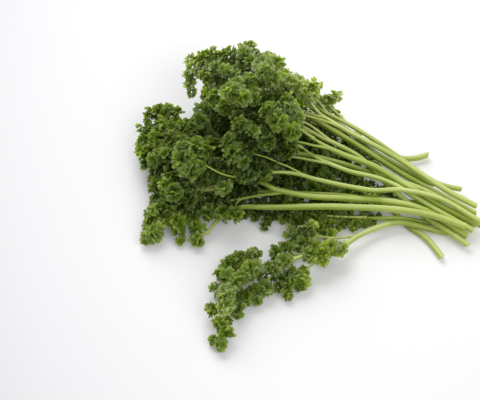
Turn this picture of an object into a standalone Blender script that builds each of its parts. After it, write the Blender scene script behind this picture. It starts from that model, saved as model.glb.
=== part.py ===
"""A bunch of curly parsley, cut and laid on its side with nothing tying it.

Each sprig is one stem and the leaf fronds that branch from it. A stem is a tapering tube. A frond is a
thin stalk that ends in a lumpy mass of leaf tufts. The sprigs lie on each other and on the surface.

Metres, +Z up. The origin is on the surface, under the middle of the bunch. The cut ends of the stems
point to +X, the leaves to -X, and one loose sprig lies apart from the others on the -Y side.
"""

import math
from collections import namedtuple

import bmesh
import bpy
import numpy as np
from mathutils import Vector

MM = 0.001
GOLDEN = 2.39996  # an angle whose multiples never repeat

# Driving dimensions, in millimetres.
CUT_RADIUS = 1.75  # of a stem where it was cut
FORK_RADIUS = 1.45  # of a stem where its first frond leaves
END_RADIUS = 1.0  # of a stem where its last frond begins
STEM_VARIES = 0.14  # share by which stems differ in radius
STALK_RADIUS = 1.0  # of a frond's stalk where it leaves the stem
STALK_END_RADIUS = 0.8
RIB_RADIUS = 2.0  # of a frond's axis among its tufts
TUFT_RADIUS = 6.6  # of one curled tuft of leaf
TUFT_VARIES = 0.14  # share by which tufts differ in radius
FROND_WIDTH = 8.0  # from a frond's axis to its side tufts
FIRST_TUFT = 0.42  # share of a frond's length that is bare stalk
FOOT = 1.6  # how far a tuft that rests on the surface is pressed flat
GAP = 0.6  # kept between neighbours
SPACING = 2.5  # between the beads that stand for a stem while the bunch settles
STEM_STEP = 7.5  # length of a stem's facets
STEM_SIDES = 8
TUFT_SKIN = 0.3  # how far a leaf solid stays inside its beads
LUMP_GRAIN = 1.3  # size of the grid that joins tufts into one skin
LUMP_TRIANGLES = 46  # for each tuft in a frond

# A frond leaves its stem at a share of the stem's length and ends in a tuft at tip. bare is its FIRST_TUFT.
Frond = namedtuple("Frond", "at tip pairs width size bare", defaults=(2, FROND_WIDTH, 1.0, FIRST_TUFT))

# Routes run from the cut end to the last fork, and every point is (x, y, z) in millimetres.
SPRIGS = {
    "01": (
        [(85, -5, 3), (67, -2, 4), (52, 1, 5), (34, -8, 6), (18, -21, 7), (2, -28, 9), (-14, -37, 10),
         (-30, -41, 10), (-42, -52, 10), (-47, -70, 9)],
        [Frond(0.40, (-7, -9, 6), 1, 6), Frond(0.46, (3, -26, 5), 1, 5, 0.85),
         Frond(0.52, (-14, -51, 5), 1, 5, 0.9), Frond(0.58, (-26, -25, 7), 1, 5, 0.9),
         Frond(0.66, (-46, -32, 6), 1, 6, 0.9), Frond(0.70, (-35, -56, 5), 1, 4, 0.8),
         Frond(0.82, (-56, -51, 6), 1, 5, 0.95), Frond(0.92, (-40, -64, 5), 1, 4, 0.8),
         Frond(0.97, (-58, -72, 5), 1, 3, 0.75), Frond(1.0, (-54, -90, 5), 1, 4, 0.85)],
    ),
    "02": (
        [(82, 0, 4), (64, 1, 5), (46, 1, 6), (34, 2, 6)],
        [Frond(1.0, (-12, 3, 5), 3, 5, 0.85)],
    ),
    "03": (
        [(79, -24, 3), (70, -9, 3), (60, 0, 4), (52, 10, 4), (45, 20, 4), (38, 28, 4)],
        [Frond(0.90, (-14, 32, 5), 3, 6, 0.9), Frond(1.0, (-2, 50, 5), 3, 7, 0.9)],
    ),
    "04": (
        [(98, -2, 4), (73, 13, 5), (49, 16, 6), (19, 19, 7), (-11, 21, 8), (-41, 20, 9), (-62, 14, 12)],
        [Frond(0.88, (-90, 24, 12)), Frond(1.0, (-90, -9, 7), 2, 8)],
    ),
    "05": (
        [(32, 71, 4), (25, 71, 6), (16, 72, 8), (4, 74, 11)],
        [Frond(1.0, (-22, 82, 18))],
    ),
    "06": (
        [(73, 55, 3), (64, 52, 3), (54, 52, 4), (43, 58, 6), (31, 64, 8), (16, 75, 10), (1, 86, 12),
         (-11, 96, 16)],
        [Frond(0.80, (-34, 80, 14)), Frond(0.88, (-27, 95, 26), 1, 4), Frond(1.0, (-38, 98, 36))],
    ),
    "07": (
        [(92, 27, 4), (79, 30, 5), (67, 37, 8), (49, 51, 12), (34, 62, 15), (19, 71, 18), (7, 77, 22),
         (-2, 81, 27)],
        [Frond(0.78, (15, 87, 21), 1, 4, 0.9), Frond(0.92, (-4, 84, 32), 1, 5),
         Frond(1.0, (-24, 80, 44))],
    ),
    "08": (
        [(100, 7, 5), (79, 21, 6), (55, 36, 9), (25, 58, 13), (-5, 76, 18), (-28, 85, 26), (-44, 89, 32)],
        [Frond(0.88, (-52, 102, 34)), Frond(0.94, (-58, 86, 14), 1, 5), Frond(1.0, (-68, 97, 30), 2, 10)],
    ),
    "09": (
        [(87, 8, 10), (67, 20, 12), (43, 31, 13), (13, 41, 15), (-17, 46, 18), (-44, 46, 23),
         (-62, 47, 26)],
        [Frond(0.84, (-63, 64, 34)), Frond(0.92, (-92, 76, 17), 2, 9), Frond(1.0, (-96, 49, 14), 2, 10)],
    ),
    "10": (
        [(93, -6, 9), (73, 1, 11), (49, 4, 13), (19, 4, 15), (-1, 3, 16), (-26, 2, 15), (-47, 2, 13),
         (-57, -1, 10), (-63, -8, 7)],
        [Frond(1.0, (-72, -9, 7), 1, 5, 0.85)],
    ),
    "11": (
        [(94, -10, 3), (79, 0, 6), (55, 9, 11), (25, 11, 14), (1, 11, 16), (-20, 14, 18), (-32, 17, 19),
         (-50, 15, 18)],
        [Frond(0.80, (-58, 6, 14)), Frond(1.0, (-84, 12, 18), 2, 9)],
    ),
    "12": (
        [(101, -2, 9), (79, 12, 12), (55, 17, 15), (40, 15, 17), (22, 18, 18), (4, 22, 20), (-10, 25, 23),
         (-28, 25, 25), (-41, 20, 24)],
        [Frond(0.76, (-46, 34, 42), bare=0.6), Frond(0.86, (-66, 16, 24), 1),
         Frond(1.0, (-72, 32, 34), 2, 9)],
    ),
    "13": (
        [(97, -7, 6), (79, 5, 8), (58, 20, 12), (40, 27, 15), (25, 30, 17), (6, 38, 20), (-3, 43, 24)],
        [Frond(0.90, (-42, 33, 34)), Frond(1.0, (-40, 35, 46))],
    ),
    "14": (
        [(95, -16, 3), (79, -3, 5), (64, 9, 9), (49, 23, 13), (34, 39, 17), (22, 46, 20), (7, 50, 26),
         (-8, 54, 34)],
        [Frond(0.85, (-28, 62, 46)), Frond(0.95, (-58, 64, 46)), Frond(1.0, (-44, 52, 54), 2, 9)],
    ),
    "15": (
        [(103, -3, 5), (82, 8, 8), (55, 24, 13), (38, 34, 16), (22, 40, 19), (8, 44, 24), (0, 47, 28)],
        [Frond(0.93, (-24, 37, 38), 1, bare=0.6), Frond(1.0, (-26, 48, 48))],
    ),
    "16": (
        [(100, 7, 12), (82, 18, 14), (55, 38, 18), (37, 49, 21), (23, 56, 24), (8, 64, 28), (-3, 69, 32)],
        [Frond(0.86, (-22, 58, 44), 1, size=0.9, bare=0.6), Frond(0.93, (-19, 70, 40), 1, 4),
         Frond(1.0, (-32, 74, 52), 2, 6)],
    ),
}

STEM_GREEN = (0.32, 0.42, 0.11)
LEAF_GREEN = (0.06, 0.11, 0.02)


def smooth_route(points, step):
    """A curve through the points, as an array of points about one step apart."""
    p = np.array(points, float)
    ends = (2 * p[0] - p[1], 2 * p[-1] - p[-2])
    p = np.vstack([ends[0], p, ends[1]])
    dense = []
    for before, a, b, after in zip(p, p[1:], p[2:], p[3:]):
        for t in np.linspace(0, 1, 20, endpoint=False):
            dense.append(
                0.5 * (2 * a + (b - before) * t + (2 * before - 5 * a + 4 * b - after) * t**2
                       + (3 * a - before - 3 * b + after) * t**3)
            )
    dense.append(p[-2])
    return evenly(np.array(dense), step)


def evenly(path, step):
    """The same path with its points spread evenly, about one step apart."""
    along = np.concatenate([[0], np.cumsum(np.linalg.norm(np.diff(path, axis=0), axis=1))])
    count = max(2, round(along[-1] / step) + 1)
    wanted = np.linspace(0, along[-1], count)
    return np.stack([np.interp(wanted, along, path[:, axis]) for axis in range(3)], axis=1)


def arc(start, lean, end, step):
    """A curve that leaves start along lean and bends over to end."""
    start, end = np.array(start), np.array(end, float)
    reach = np.linalg.norm(end - start)
    middle = start + lean * 0.4 * reach
    t = np.linspace(0, 1, 24)[:, None]
    return evenly((1 - t) ** 2 * start + 2 * t * (1 - t) * middle + t**2 * end, step)


class Bunch:
    """The whole bunch as beads: each bead belongs to one piece, and links hold neighbouring beads."""

    def __init__(self):
        self.at, self.radius, self.owner, self.links = [], [], [], []
        self.beads = {}  # piece: the numbers of its beads, by kind

    def add(self, piece, kind, point, radius, linked_to=None):
        number = len(self.at)
        self.at.append(point)
        self.radius.append(radius)
        self.owner.append(piece)
        if linked_to is not None:
            self.links.append((linked_to, number))
        self.beads.setdefault(piece, {}).setdefault(kind, []).append(number)
        return number

    def add_stem(self, piece, route, first_fork):
        path = smooth_route(route, SPACING)
        share = np.linspace(0, 1, len(path))
        radius = np.interp(share, [0, first_fork, 1], [CUT_RADIUS, FORK_RADIUS, END_RADIUS])
        radius *= 1 + STEM_VARIES * math.sin(GOLDEN * len(self.at))
        last = None
        for point, r in zip(path, radius):
            last = self.add(piece, "tube", point, r, last)
        return path

    def add_frond(self, piece, stem, path, frond):
        """The frond's bare stalk, its tufts in pairs along the axis, and the tuft at its tip."""
        beads = self.beads[stem]["tube"]
        place = min(len(path) - 1, round(frond.at * (len(path) - 1)))
        along = path[place] - path[place - 1]
        along /= np.linalg.norm(along)
        to_tip = np.array(frond.tip, float) - path[place]
        to_tip /= np.linalg.norm(to_tip)
        lean = along + 0.7 * to_tip
        lean /= np.linalg.norm(lean)
        root = path[place].copy()
        if frond.at < 1:  # a side frond starts beside the stem, on the side that it leans to
            aside = to_tip - along * (to_tip @ along)
            root += aside / np.linalg.norm(aside) * (self.radius[beads[place]] + STALK_RADIUS + GAP)
        else:
            root += lean * (END_RADIUS + STALK_RADIUS + GAP)
        axis = arc(root, lean, frond.tip, SPACING)
        bare = max(2, round(frond.bare * len(axis)))
        last = beads[place]
        for number, point in enumerate(axis):
            kind = "stalk" if number <= bare else "rib"
            last = self.add(piece, kind, point, STALK_RADIUS if number <= bare else RIB_RADIUS, last)
        self.add_tufts(piece, axis, bare, frond)

    def add_tufts(self, piece, axis, bare, frond):
        tip = self.beads[piece]["rib"][-1] if "rib" in self.beads[piece] else self.beads[piece]["stalk"][-1]
        chain = self.beads[piece]["stalk"] + self.beads[piece].get("rib", [])
        self.add(piece, "tuft", axis[-1], self.tuft_radius(frond), tip)
        for pair in range(frond.pairs):
            share = (pair + 0.35) / frond.pairs
            place = round(bare + share * (len(axis) - 1 - bare))
            along = axis[min(place + 1, len(axis) - 1)] - axis[place - 1]
            aside = np.cross(along, (0, 0, 1))
            aside /= np.linalg.norm(aside)
            reach = frond.width * (1 - 0.2 * share)
            for side in (-1, 1):
                lift = 1.5 * side * (-1) ** pair
                point = axis[place] + side * reach * aside + np.array((0, 0, lift))
                self.add(piece, "tuft", point, self.tuft_radius(frond), chain[place])

    def tuft_radius(self, frond):
        """Tufts differ a little, in an order that doesn't repeat."""
        return TUFT_RADIUS * frond.size * (1 + TUFT_VARIES * math.sin(GOLDEN * len(self.at)))

    def settle(self, rounds=700):
        """Pushes apart the beads of different pieces, and shares each push along stems and fronds."""
        at = np.array(self.at)
        radius = np.array(self.radius)
        names = {name: n for n, name in enumerate(self.beads)}
        owner = np.array([names[name] for name in self.owner])
        a, b = np.array(self.links).T
        degree = np.bincount(np.concatenate([a, b]), minlength=len(at))[:, None]
        is_tuft = np.zeros(len(at), bool)
        for kinds in self.beads.values():
            is_tuft[kinds.get("tuft", [])] = True
        floor = np.where(is_tuft, radius - FOOT, radius)
        moved = np.zeros_like(at)
        for turn in range(rounds):
            if turn % 12 == 0:
                near = self.neighbours(at + moved, radius, owner)
            here = at + moved
            apart = here[near[0]] - here[near[1]]
            distance = np.linalg.norm(apart, axis=1) + 1e-9
            short = radius[near[0]] + radius[near[1]] + GAP - distance
            hit = short > 0
            push = 0.5 * (apart / distance[:, None] * short[:, None])[hit]
            total = np.zeros_like(at)
            count = np.zeros(len(at))
            for ends, way in ((near[0][hit], 1), (near[1][hit], -1)):
                np.add.at(total, ends, way * push)
                np.add.at(count, ends, 1)
            moved += total / np.maximum(1, count * 0.6)[:, None]
            loose = turn < rounds * 0.7
            share = 0.75 if loose else 0.08
            mean = np.zeros_like(at)
            np.add.at(mean, a, moved[b])
            np.add.at(mean, b, moved[a])
            moved = (1 - share) * moved + share * mean / degree
            moved *= 0.99 if loose else 1
            moved[:, 2] = np.maximum(moved[:, 2], floor - at[:, 2])
        self.at = at + moved
        self.radius = radius
        return short.max()

    @staticmethod
    def neighbours(at, radius, owner, reach=5.0):
        """Pairs of beads of different pieces that could touch within a few rounds."""
        first, second = [], []
        for n in range(len(at) - 1):
            limit = radius[n] + radius[n + 1:] + GAP + reach
            offset = at[n + 1:] - at[n]
            close = (np.einsum("ij,ij->i", offset, offset) < limit**2) & (owner[n + 1:] != owner[n])
            found = np.nonzero(close)[0] + n + 1
            first.append(np.full(len(found), n))
            second.append(found)
        return np.concatenate(first), np.concatenate(second)

    def points(self, piece, kind):
        return [Vector(self.at[n]) * MM for n in self.beads[piece].get(kind, [])]

    def radii(self, piece, kind):
        return [self.radius[n] * MM for n in self.beads[piece].get(kind, [])]


def clear_scene():
    for obj in list(bpy.data.objects):
        bpy.data.objects.remove(obj)


def material(name, colour, roughness):
    made = bpy.data.materials.new(name)
    made.use_nodes = True
    shader = made.node_tree.nodes["Principled BSDF"]
    shader.inputs["Base Color"].default_value = (*colour, 1)
    shader.inputs["Roughness"].default_value = roughness
    shader.inputs["Metallic"].default_value = 0
    return made


def tube(name, points, radii, sides=STEM_SIDES):
    """A closed tube along the points, as a curve with a round bevel and filled caps."""
    curve = bpy.data.curves.new(name, "CURVE")
    curve.dimensions = "3D"
    curve.bevel_depth = 1
    curve.bevel_resolution = sides // 2 - 2
    curve.use_fill_caps = True
    spline = curve.splines.new("POLY")
    spline.points.add(len(points) - 1)
    for target, point, radius in zip(spline.points, points, radii):
        target.co = (*point, 1)
        target.radius = radius
    obj = bpy.data.objects.new(name, curve)
    bpy.context.scene.collection.objects.link(obj)
    return obj


def thinned(items, every):
    """Every so many items, with the first and the last."""
    picked = list(items[:-1:every])
    return picked + [items[-1]]


def make_stem(bunch, piece, finish):
    every = round(STEM_STEP / SPACING)
    points = thinned(bunch.points(piece, "tube"), every)
    radii = thinned(bunch.radii(piece, "tube"), every)
    stem = tube(piece, points, radii)
    stem.data.materials.append(finish)
    return stem


def helper(obj):
    """Keeps a cutter or a guide out of the model."""
    obj.hide_render = True
    obj.display_type = "WIRE"
    return obj


def mesh_of(obj):
    """A curve as a closed mesh object in its place."""
    mesh = bpy.data.meshes.new_from_object(obj.evaluated_get(bpy.context.evaluated_depsgraph_get()))
    welder = bmesh.new()
    welder.from_mesh(mesh)
    bmesh.ops.remove_doubles(welder, verts=welder.verts, dist=0.01 * MM)
    bmesh.ops.recalc_face_normals(welder, faces=welder.faces)
    welder.to_mesh(mesh)
    welder.free()
    name = obj.name
    bpy.data.objects.remove(obj)
    made = bpy.data.objects.new(name, mesh)
    bpy.context.scene.collection.objects.link(made)
    return made


def lumps(name, bunch, piece):
    """Balls for the tufts and rods for the ribs between them, all in one mesh."""
    tufts = list(zip(bunch.points(piece, "tuft"), bunch.radii(piece, "tuft")))
    ribs = bunch.points(piece, "rib") or bunch.points(piece, "stalk")[-1:]
    shape = bmesh.new()
    for centre, radius in tufts:
        ball = bmesh.ops.create_icosphere(shape, subdivisions=3, radius=radius - TUFT_SKIN * MM)
        bmesh.ops.translate(shape, verts=ball["verts"], vec=centre)
    for centre, radius in tufts:
        nearest = min(ribs, key=lambda rib: (rib - centre).length)
        add_rod(shape, centre, nearest, RIB_RADIUS * MM)
    for a, b in zip(ribs, ribs[1:]):
        add_rod(shape, a, b, (RIB_RADIUS - TUFT_SKIN) * MM)
    mesh = bpy.data.meshes.new(name)
    shape.to_mesh(mesh)
    shape.free()
    obj = bpy.data.objects.new(name, mesh)
    bpy.context.scene.collection.objects.link(obj)
    return obj


def add_rod(shape, a, b, radius):
    length = (b - a).length
    if length < 0.3 * MM:
        return
    rod = bmesh.ops.create_cone(
        shape, cap_ends=True, segments=8, radius1=radius, radius2=radius, depth=length + radius
    )
    turn = (b - a).to_track_quat("Z", "Y").to_matrix()
    bmesh.ops.rotate(shape, verts=rod["verts"], matrix=turn, cent=(0, 0, 0))
    bmesh.ops.translate(shape, verts=rod["verts"], vec=(a + b) / 2)


def combine(obj, other, operation):
    change = obj.modifiers.new(other.name, "BOOLEAN")
    change.operation = operation
    change.object = other
    change.solver = "EXACT"


def make_frond(bunch, piece, finish, ground):
    """One closed solid: the stalk, run into a skin drawn over the tufts, cut flat where it rests."""
    frond = lumps(piece, bunch, piece)
    skin = frond.modifiers.new("skin", "REMESH")
    skin.mode = "VOXEL"
    skin.voxel_size = LUMP_GRAIN * MM
    count = len(bunch.beads[piece]["tuft"])
    soft = frond.modifiers.new("soft", "SMOOTH")
    soft.factor = 0.5
    soft.iterations = 3
    thin = frond.modifiers.new("thin", "DECIMATE")
    bpy.context.view_layer.update()
    graph = bpy.context.evaluated_depsgraph_get()
    fine = len(frond.evaluated_get(graph).data.polygons)
    thin.ratio = min(1.0, LUMP_TRIANGLES * count / (2 * fine))
    inside = bunch.points(piece, "rib") or bunch.points(piece, "tuft")
    points = thinned(bunch.points(piece, "stalk"), 2) + inside[:2]
    radii = np.linspace(STALK_RADIUS, STALK_END_RADIUS, len(points)) * MM
    stalk = helper(mesh_of(tube(piece + ".stalk", points, radii, 6)))
    combine(frond, stalk, "UNION")
    combine(frond, ground, "DIFFERENCE")
    frond.data.materials.append(finish)
    return frond


def make_ground():
    """A block under the surface that cuts the resting tufts flat."""
    bpy.ops.mesh.primitive_cube_add(size=1, location=(0, 0, -0.05))
    ground = bpy.context.object
    ground.name = "ground_cutter"
    ground.scale = (0.5, 0.5, 0.1)
    bpy.ops.object.transform_apply(location=True, rotation=False, scale=True)
    return helper(ground)


def lay_out():
    bunch = Bunch()
    for number, (route, fronds) in SPRIGS.items():
        stem = f"stem_{number}"
        path = bunch.add_stem(stem, route, min(0.98, fronds[0].at))
        for letter, frond in zip("abcdefghij", fronds):
            bunch.add_frond(f"frond_{number}{letter}", stem, path, frond)
    return bunch


def centre(pieces):
    """Moves everything so that the middle of the bunch is over the origin."""
    graph = bpy.context.evaluated_depsgraph_get()
    points = [vertex.co.copy() for obj in pieces for vertex in obj.evaluated_get(graph).to_mesh().vertices]
    for axis in (0, 1):
        values = [point[axis] for point in points]
        middle = (min(values) + max(values)) / 2
        for obj in bpy.data.objects:
            obj.location[axis] -= middle


def main():
    clear_scene()
    bunch = lay_out()
    bunch.settle()
    stem_finish = material("stem", STEM_GREEN, 0.4)
    leaf_finish = material("leaf", LEAF_GREEN, 0.55)
    ground = make_ground()
    pieces = []
    for piece in bunch.beads:
        if piece.startswith("stem"):
            pieces.append(make_stem(bunch, piece, stem_finish))
        else:
            pieces.append(make_frond(bunch, piece, leaf_finish, ground))
    centre(pieces)


if __name__ == "__main__":
    main()
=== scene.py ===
"""A bunch of curly parsley, drawn over its frame: ribbed stems, stalks and frilled leaflets."""

import itertools
import math
import random

import bmesh
import bpy
import numpy as np
from mathutils import Matrix, Vector, noise
from mathutils.bvhtree import BVHTree


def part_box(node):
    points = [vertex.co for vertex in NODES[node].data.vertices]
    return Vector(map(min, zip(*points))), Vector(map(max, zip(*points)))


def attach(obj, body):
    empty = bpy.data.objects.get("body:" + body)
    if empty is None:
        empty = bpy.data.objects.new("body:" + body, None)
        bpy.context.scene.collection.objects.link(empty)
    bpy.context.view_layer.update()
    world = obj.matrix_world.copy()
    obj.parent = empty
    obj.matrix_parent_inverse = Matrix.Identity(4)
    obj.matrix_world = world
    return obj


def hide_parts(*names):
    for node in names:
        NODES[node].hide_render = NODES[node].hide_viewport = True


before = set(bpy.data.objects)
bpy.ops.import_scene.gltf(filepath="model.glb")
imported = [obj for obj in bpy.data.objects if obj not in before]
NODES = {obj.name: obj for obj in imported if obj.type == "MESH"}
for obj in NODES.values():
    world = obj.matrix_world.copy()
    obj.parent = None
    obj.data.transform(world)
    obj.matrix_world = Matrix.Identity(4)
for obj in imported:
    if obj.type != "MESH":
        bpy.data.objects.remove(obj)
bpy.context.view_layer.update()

bl_info = {
    "name": "Curly Parsley Bunch",
    "version": (1, 0, 0),
    "blender": (4, 5, 0),
    "location": "3D View > Sidebar > Parsley",
    "description": "Adds the stems, stalks and leaflets of a bunch of curly parsley, and a stage for it",
    "category": "Add Mesh",
}

MM = 0.001
GOLDEN = 2.399963  # the golden angle, which spreads a number evenly over the stems

# The frame's solids: each is a tube of rings with so many corners, whose edges are no longer than this.
STEM_SIDES, STEM_EDGE = 8, 1.75 * MM
STALK_SIDES, STALK_EDGE = 6, 1.1 * MM
STALK_WIDEST = 1.15 * MM  # a wider ring is part of a leaf mass

MAP_LENGTH = 20 * MM  # of stem that one unit of its map covers
STALK_STEP = 1.6 * MM  # between the points of a stalk's course
STALK_FLOOR = 1.3 * MM  # a stalk's middle stays this high above the surface
NEAR_SPRIG = "stem_01"  # it lies apart from the heap

# A clump wider than this has full rings of leaflets, a smaller one has small rings: how many leaflets
# a ring has, and how far they stand up, in degrees.
FULL_CLUMP = 5.4 * MM
FULL_RINGS = ((3, -50), (7, -12), (6, 16), (5, 42), (2, 72))
SMALL_RINGS = ((2, -40), (5, 0), (4, 38), (1, 80))
UPRIGHT = 70  # leaflets in a ring that stands up more than this face outwards
SWAY = 28  # the most that a leaflet leans or turns from its place in the ring
LEAFLETS = 12  # different ones are modelled, then copied
USUAL_LENGTH = 6 * MM  # the leaflet length at which the thickness is as set

# Leaves where no tuft stands: place and radius, in millimetres.
FILLERS = (
    # low, under the heap's near side
    (-46, 0, 5, 5), (-38, -3, 5, 4), (-30, -2, 5, 5), (-22, -4, 4, 5), (-34, 5, 5, 5), (-24, 3, 5, 5),
    (-46, 7, 6, 5), (-38, 15, 6, 5), (-28, 15, 5, 5), (-16, 7, 5, 5), (-6, 3, 4, 5), (4, -3, 4, 5),
    (14, -5, 4, 4), (24, -5, 4, 4), (34, -6, 4, 4), (-14, -6, 4, 4.6), (-4, -9, 4, 5), (6, 11, 4, 5),
    (16, 17, 4, 5), (26, 15, 4, 5), (10, 25, 5, 5), (22, 25, 5, 5), (0, 35, 5, 5), (12, 37, 6, 5),
    (-32, -6, 4, 3.4), (-25, -10, 4, 3.6), (-26, -13, 3, 3.2), (-56, -4, 7, 4.6), (-66, 57, 9, 4.8),
    (-62, 60, 9, 4.4), (13, -13, 4, 4), (21, -12, 4, 3.6), (28, -12, 4, 3.4), (35, -10, 4, 3),
    (6, -17, 6, 4.4), (12, -21, 5, 4),
    # low, under the stems, where they close on each other, painted a deep green there as painted shade
    (25, 57, 3, 2.4), (29, 54, 3, 2.4), (34, 50, 3, 2.4), (23, 51, 3, 3.6), (27, 48, 3, 3.4),
    (31, 45, 3, 3.4), (34, 41, 3, 3.2), (38, 38, 3, 3), (42, 34, 3, 2.8), (24, 37, 4, 3.2),
    (30, 33, 4, 3), (22, 28, 3, 4), (27, 25, 3, 4), (32, 22, 3, 4), (37, 19, 3, 3.6), (42, 16, 3, 3),
    (47, 13, 3, 2.4), (24, 22, 3, 4), (29, 19, 3, 4), (34, 16, 3, 3.6), (39, 14, 3, 3), (31, 27, 3, 3.4),
    (26, 31, 3, 3.4), (45, 16, 3, 3), (50, 11, 3, 3), (54, 8, 3, 2.6), (27, -14, 3, 3), (33, -12, 3, 3),
    (39, -10, 3, 2.6), (19, -8, 3, 4), (25, -8, 3, 4), (31, -8, 3, 3.6), (37, -6, 3, 3.2),
    (42, -5, 3, 2.6), (17, -15, 3, 2.6),
    # under the forks
    (-3, 48, 12, 5), (2, 43, 12, 5), (7, 37, 11, 5), (-5, 37, 13, 5), (1, 31, 12, 5), (6, 25, 11, 5),
    (-5, 25, 12, 5), (-12, 24, 14, 5), (-14, 14, 14, 5), (-14, 2, 13, 5), (-24, 12, 15, 5),
    (-26, -2, 12, 5), (-34, 6, 14, 5),
    # over the stalks that cross the head's far side
    (-12, 76, 34, 4.4), (-8, 71, 33, 4.4), (-6, 62, 44, 4.2), (-10, 62, 48, 4.2), (-5, 67, 28, 4.2),
    (-2, 63, 26, 3.8), (-5, 88, 20, 4),
    # along the top of the head, and the column that hangs from its far corner
    (-48, 97, 34, 5), (-53, 96, 32, 5), (-44, 97, 33, 4.5), (-23, 93, 34, 4.2), (-58, 93, 32, 4.5),
    (-69, 92, 33, 5), (-64, 94, 34, 4.5), (-60, 95, 34, 4.5), (-41, 85, 33, 4.6), (-38, 93, 34, 4.6),
    (-30, 95, 34, 4), (-49, 87, 30, 4.6), (-54, 90, 31, 4.4), (-56, 80, 28, 4.4), (-50, 78, 40, 4.4),
    (-55, 80, 40, 4), (-58, 83, 33, 4.4), (-71, 83, 32, 4), (-71, 77, 30, 3.6), (-70, 72, 27, 3.2),
    (-71, 79, 33, 4), (-60, 76, 34, 4), (-61, 76, 20, 4.2), (-66, 63, 7, 4.4),
    # left edge, and the far end of the left lobe
    (-96, 61, 16, 5), (-98, 54, 14, 5), (-99, 46, 12, 5), (-99, 38, 12, 5), (-96, 30, 10, 5),
    (-92, 22, 8, 5), (-90, 13, 8, 5), (-91, 4, 7, 4.6), (-93, -5, 6, 4.6), (-93, -13, 6, 4.6),
    (-94, 65, 18, 4.4), (-89, 64, 20, 4.6), (-83, 63, 20, 4.6), (-78, 63, 18, 4.4), (-63, 73, 20, 4.5),
    # three tips that droop from the near corner
    (-95, -19, 5, 4.4), (-97, -25, 4, 3.4), (-77, -17, 5, 4.2), (-76, -24, 4, 3), (-65, -19, 4, 3),
    # the near sprig: between its fronds, along its margin, down its neck
    (-27, -54, 6, 4), (-21, -53, 6, 4), (-15, -57, 6, 4), (-36, -67, 5, 4), (-41, -39, 6, 3.8),
    (-31, -71, 4, 3.4), (-13, -66, 4, 3.6), (-5, -60, 4, 3.6), (-4, -51, 6, 4), (8, -46, 12, 4),
    (-18, -60, 4, 3.6), (-53, -53, 7, 4.2), (-20, -54, 13, 3.6), (-31, -38, 8, 3.8), (13, -36, 8, 4),
    (-43, -80, 4, 3.6), (-48, -86, 4, 3.2), (-50, -93, 5, 3), (-52, -104, 5, 4), (-56, -100, 4, 3.2),
    # over the stalks that cross the middle
    (-28, 18, 30, 4.6), (-20, 15, 29, 4.4), (-31, 5, 26, 4.6), (-27, 10, 29, 4),
)
# Fronds whose leaves stand a little aside of their tufts, in millimetres.
ASIDE = {
    "01a": (1.5, 1, 0), "01c": (-3, 0, 0), "01d": (4, -1, 0), "01e": (1, -2.5, 0), "01g": (3.5, 0, 0),
    "01h": (-1, -2, 0), "01i": (1, 3, 0), "01j": (1, 2, 0), "05b": (-1, -2, 0), "06b": (-2, -3, 0),
    "06c": (-2.8, -2, 0), "07a": (-3.5, 2, 0), "07c": (-2.5, -2, 0), "10a": (0.8, 4, 0),
    "11a": (0, 8, -5), "16c": (-2, 0, 0),
}
# Gaps that leaves keep clear of: place, radius and the height up to which they reach, in millimetres.
GAPS = (
    (-69, 80, 10, 15), (-20, -64, 4, 15), (22, -28, 6, 15), (-68, 92, 5, 15), (-64, 73, 2, 40),
    (-67, 79, 2, 40), (-7, -44, 2, 15), (-84, -20, 3.5, 15), (-70, -18, 3, 15), (-28.5, -51, 2.5, 16),
    (-4, -42, 2, 15), (4, 70, 2, 24), (-2, 63, 2, 27), (3, 56, 2, 35), (-68, 69, 2, 15),
    (18, -35, 2, 12), (-80, 65, 1.5, 17), (-14, -27, 1.5, 15), (-56, -92, 1.5, 15), (6, -41, 1.5, 15),
)

# Thin stalks that lie low beside a stem, where its neighbours stand apart: places in millimetres.
BESIDE = {"stem_14": ((8, 64, 9), (18, 58, 6), (32, 50, 4), (48, 38, 4), (64, 26, 4), (76, 17, 5))}
BESIDE_SIZE = 1.9 * MM

# How much lighter or darker than the rest a sprig's or a frond's leaf is: partly its own tone, partly
# painted light on the head's top and the near sprig, and painted shade on the fronds in its middle.
LIGHTER = {
    "01": 0.25, "01a": 0.58, "01b": 0.5, "02": 0.05, "03": -0.25, "04a": -0.35, "04b": 0.3, "06": 0.9,
    "06b": 1.25, "07": 1.25, "08": 0.65, "09b": 0.16, "09c": -0.12, "10": 0.2, "11a": -0.2, "11b": -0.3,
    "12": -0.2, "13": -0.25, "14": 0.15, "14a": 0.5, "15": -0.1, "16": 0.75, "16c": 0.5,
}
# How much larger a sprig's leaflets are, and how much thinner its stalks.
LARGER = {"04": 1.1, "10": 1.1}
THINNER = {"12": 0.65}


# ---- lines and places

def smooth(points, step):
    """A smooth curve through the points, with points about one step apart."""
    p = [points[0] * 2 - points[1], *points, points[-1] * 2 - points[-2]]
    dense = []
    for before, a, b, after in zip(p, p[1:], p[2:], p[3:]):
        for n in range(12):
            t = n / 12
            dense.append(0.5 * (2 * a + (b - before) * t + (2 * before - 5 * a + 4 * b - after) * t * t
                                + (3 * a - before - 3 * b + after) * t ** 3))
    dense.append(points[-1])
    lengths = [0.0]
    for a, b in zip(dense, dense[1:]):
        lengths.append(lengths[-1] + (b - a).length)
    count = max(3, round(lengths[-1] / step) + 1)
    made, n = [], 0
    for k in range(count):
        wanted = lengths[-1] * k / (count - 1)
        while n < len(dense) - 2 and lengths[n + 1] < wanted:
            n += 1
        span = lengths[n + 1] - lengths[n]
        made.append(dense[n].lerp(dense[n + 1], (wanted - lengths[n]) / span if span else 0))
    return made


def flat_gap(a, b):
    """How far apart two places are, seen from above."""
    return math.hypot(a.x - b.x, a.y - b.y)


def nearest_on(course, point):
    """The nearest point of a centreline: its place, and how far along it is as a number of points."""
    best = None
    for n, (a, b) in enumerate(zip(course, course[1:])):
        way = b - a
        share = min(1.0, max(0.0, (point - a).dot(way) / way.length_squared))
        spot = a + way * share
        gap = (point - spot).length
        if best is None or gap < best[0]:
            best = (gap, spot, n + share)
    return best


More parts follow.
